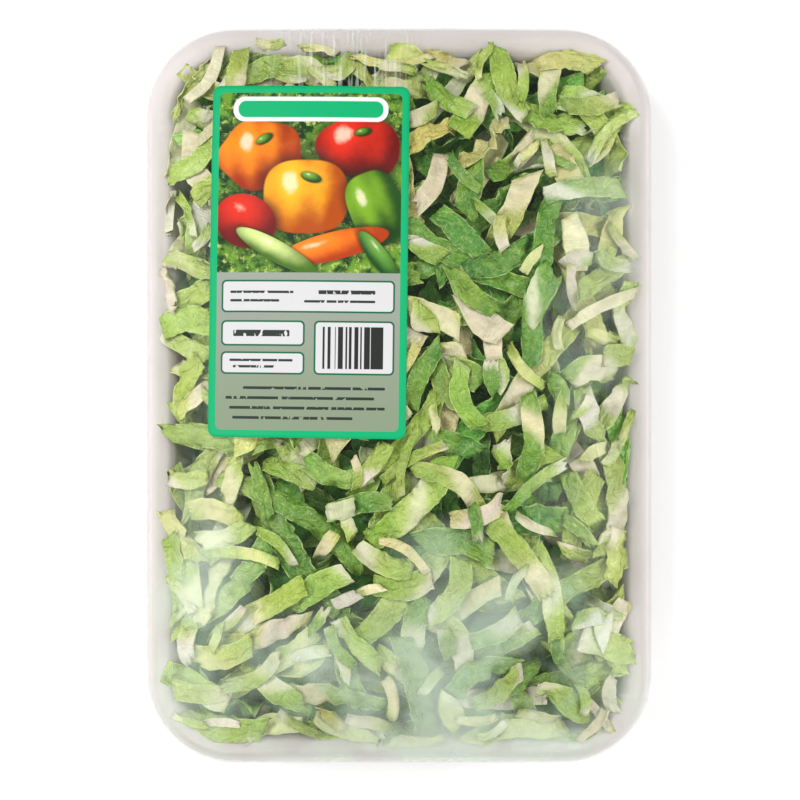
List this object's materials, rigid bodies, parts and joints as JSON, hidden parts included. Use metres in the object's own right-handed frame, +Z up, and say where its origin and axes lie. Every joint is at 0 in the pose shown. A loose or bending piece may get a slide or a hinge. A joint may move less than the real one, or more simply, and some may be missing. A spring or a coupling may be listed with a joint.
{
  "type": "wrapped tray of shredded chicory",
  "caption": "Shallow foam tray heaped with cross-cut strips of shredded chicory leaves, wrapped in clear stretch film with a rectangular sticker on top.",
  "frame": {"origin": "under the middle of the package, on the surface that it stands on", "axes": "+Z up, +Y along the tray's long side towards the end that carries the sticker, +X across the tray"},
  "size_m": [0.1458, 0.2118, 0.0499],
  "materials": {
    "foam": "white expanded polystyrene foam with a soft satin skin",
    "film": "clear glossy stretch film, faintly hazy with condensation",
    "sticker": "printed semi-gloss paper sticker with a green border",
    "leaf_dark": "deep green raw leaf, slightly waxy",
    "leaf_cream": "pale rib and heart leaf, moist",
    "leaf_green": "light green raw leaf, slightly waxy"
  },
  "bodies": {
    "root": {"tray": "foam", "film": "film", "label": "sticker", "shreds_dark": "leaf_dark", "shreds_cream": "leaf_cream", "shreds_green": "leaf_green"}
  },
  "joints": []
}
